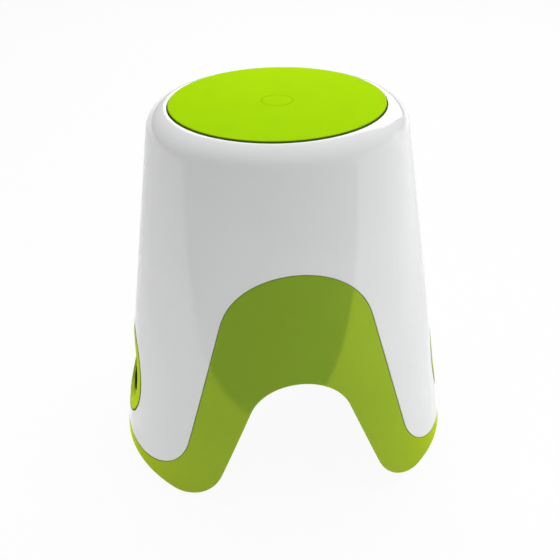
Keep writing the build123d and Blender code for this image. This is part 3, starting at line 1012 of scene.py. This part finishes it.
def liner_painted_shade(paint, place):
    """Mask of the liner's painted shade: dark painted into the finger slot below the dish, and along the
    outline down in the seam, where shade falls.

    Depth is measured below the side: radius(z) - sqrt(x^2 + y^2). The outline is where
    (y / half width)^2 + ((z - middle) / height)^2 = 1, with one height above the middle and one below.
    """
    x, y, z = paint.split(place)
    depth = FLOOR_RADIUS - z * tan(TAPER) - (x * x + y * y).maths("SQRT")
    slot = depth.smooth(GRIP_DISH - 0.6 * MM, GRIP_DISH + SLOT_LIP)
    up = z - GRIP_HEIGHT
    above = up.maths("GREATER_THAN", 0.0)
    steep = above * (GRIP_RISE ** -2 - GRIP_DROP ** -2) + GRIP_DROP ** -2
    reach = (y * y * GRIP_HALF_WIDTH ** -2 + up * up * steep).maths("SQRT")
    seam = reach.smooth(1 - SEAM_SHADE_START / GRIP_HALF_WIDTH, 1 - SEAM_SHADE_FULL / GRIP_HALF_WIDTH)
    return slot.maths("MAXIMUM", seam * SEAM_SHADE)


def zinc_steel():
    """Zinc-plated steel: a fine grain in the bump, and a light mottle in the colour and the roughness."""
    material = bpy.data.materials.new("zinc_steel")
    paint = Paint(material)
    place = paint.node("TexCoord", {}, {}, "Object")
    mottle = paint.noise(place, 300.0, 3.0).smooth(0.35, 0.65)
    fine = paint.noise(place, 2500.0, 2.0)
    shader = paint.node("BsdfPrincipled", {}, {
        "Base Color": paint.mix(mottle, *STEEL_GREYS), "Roughness": 0.28 + mottle * 0.12,
        "Normal": paint.bump(fine * (0.02 * MM)), "Metallic": 1.0})
    paint.surface(shader)
    return material


def pad_rubber():
    """Matt dark rubber with dust-greyed patches and a fine pitted skin."""
    material = bpy.data.materials.new("pad_rubber")
    paint = Paint(material)
    place = paint.node("TexCoord", {}, {}, "Object")
    dust = paint.noise(place, 160.0, 4.0).smooth(0.45, 0.75)
    pits = paint.noise(place, 1800.0, 2.0)
    shader = paint.node("BsdfPrincipled", {}, {
        "Base Color": paint.mix(dust, *RUBBER_GREYS), "Roughness": 0.7 + dust * 0.2,
        "Normal": paint.bump(pits * (0.05 * MM))})
    paint.surface(shader)
    return material


def floor_sheet():
    """White floor. Seen straight it is nearly plain white with a faint shadow.

    A reflection shows a white sheet painted on it as a glow, which ends in front of the stool along a
    slightly bent edge. Painted light makes the sheet brighter to the right, for the side light, and close
    round the stool's feet.
    """
    mesh = bpy.data.meshes.new("floor")
    corners = [(sx * FLOOR_HALF, sy * FLOOR_HALF, 0) for sx, sy in [(-1, -1), (1, -1), (1, 1), (-1, 1)]]
    mesh.from_pydata(corners, [], [tuple(range(len(corners)))])
    floor = bpy.data.objects.new("floor", mesh)
    bpy.context.scene.collection.objects.link(floor)
    material = bpy.data.materials.new("floor_white")
    paint = Paint(material)
    place = paint.node("TexCoord", {}, {}, "Object")
    x, y, _ = paint.split(place)
    cloud = paint.noise(place, 6.0, 2.0).smooth(0.3, 0.7)
    matt = paint.node("BsdfDiffuse", {}, {"Color": paint.mix(cloud, *FLOOR_WHITES)})
    sheet = (y + x * SHEET_LEAN + x * x * SHEET_BEND + SHEET_FRONT).smooth(-0.01, 0.02)
    # Painted light in what the floor shows the gloss: brighter to the right for the side light, and close
    # round the feet
    right = (x - y * 0.4).smooth(0.2, 0.8)
    near = 1 - (x * x + y * y).smooth(0.06, 0.2)
    painted_reflection_level = DARK_LEVEL + sheet * (SHEET_GLOW + right * RIGHT_GLOW + near * NEAR_GLOW)
    seen, glossy, through = paint.light_path("Is Camera Ray", "Is Glossy Ray", "Is Transmission Ray")
    strength = painted_reflection_level * glossy + (1 - glossy)
    white = paint.node("Emission", {}, {"Color": (1, 1, 1, 1), "Strength": strength})
    share = (seen + glossy + through) * FLOOR_PLAIN
    shader = paint.node("MixShader", {}, {0: share, 1: matt, 2: white})
    paint.surface(shader)
    mesh.materials.append(material)


def soft_lamp(name, place, target, sides, level):
    """Softbox. level is the light that it gives at the target, where 1 shows a colour as written.

    The light at a distance d is energy / (pi d)^2. Only the softbox behind the stool is mirrored by the
    gloss, as in the photograph.
    """
    lamp = bpy.data.lights.new(name, "AREA")
    lamp.shape = "RECTANGLE"
    lamp.size, lamp.size_y = sides
    way = Vector(target) - Vector(place)
    lamp.energy = level * pi ** 2 * way.length_squared
    box = bpy.data.objects.new(name, lamp)
    box.location = place
    box.rotation_mode = "QUATERNION"
    box.rotation_quaternion = way.to_track_quat("-Z", "Y")
    box.visible_glossy = name == "back_softbox"
    box.visible_camera = False
    bpy.context.scene.collection.objects.link(box)


def studio():
    """Soft studio: a dark room with a white sheet below the horizon, a bright card at the right, softboxes.

    x, y and z are the direction that is looked in. Seen straight the room is plain white.
    """
    world = bpy.data.worlds.new("studio")
    bpy.context.scene.world = world
    paint = Paint(world)
    x, y, z = paint.split(paint.node("TexCoord", {}, {}, "Generated"))
    left = (x * -1).smooth(0.1, 0.16)
    below_horizon = 1 - (z - left * LEFT_RISE).smooth(-0.01, 0.03)
    below_plane = 1 - (z - y * ROOM_LEAN + ROOM_DROP).smooth(-0.02, 0.02)
    white = below_horizon * below_plane
    card = x.smooth(0.8, 0.86) * (1 - y.smooth(0.4, 0.55)) * (1 - z.smooth(0.16, 0.21))
    level = DARK_LEVEL + white * (1 - card) * SHEET_GLOW + card * (SHEET_GLOW + RIGHT_GLOW)
    seen = paint.light_path("Is Camera Ray")[0]
    level = level + seen * (1 - level)
    paint.surface(paint.node("Background", {}, {"Color": (1, 1, 1, 1), "Strength": level}))
    for lamp in LAMPS:
        soft_lamp(*lamp)


def camera():
    """The photograph's viewing angle: from above the front left, rolled by a degree."""
    lens = bpy.data.cameras.new("camera")
    lens.sensor_width = SENSOR_WIDTH
    lens.lens = FOCAL_LENGTH
    eye = bpy.data.objects.new("camera", lens)
    facing = (Vector(AIM) - Vector(EYE)).to_track_quat("-Z", "Y")
    eye.rotation_mode = "QUATERNION"
    eye.location = EYE
    eye.rotation_quaternion = facing @ Quaternion((0, 0, 1), ROLL)
    bpy.context.scene.collection.objects.link(eye)
    bpy.context.scene.camera = eye


bpy.context.scene.view_settings.view_transform = "Standard"
camera()
studio()
floor_sheet()
white = moulded_plastic("white_gloss", SHELL_WHITES, POLISHED)
green = moulded_plastic("green_gloss", BODY_GREENS, POLISHED, tinted=GREEN_GLOSS)
# The liner gets painted shade in its finger slot and along its seam
liner = moulded_plastic("green_liner", LINER_GREENS, POLISHED, tinted=GREEN_GLOSS,
                        shaded=(LINER_PAINTED_SHADE, liner_painted_shade))
# The seat disc's upright wall gets painted shade, for the dark of the gap round it
lime = moulded_plastic("lime_satin", SEAT_LIMES, SATIN, SPARK_GRAIN, tinted=LIME_GLOSS,
                       shaded=(DISC_PAINTED_SHADE, disc_wall_painted_shade))
outer_shell(white)
inner_body(green)
grip_liner(+1, liner)
grip_liner(-1, liner)
seat_disc(lime)
centre_cap(lime)
screws(zinc_steel())
foot_pads(pad_rubber())
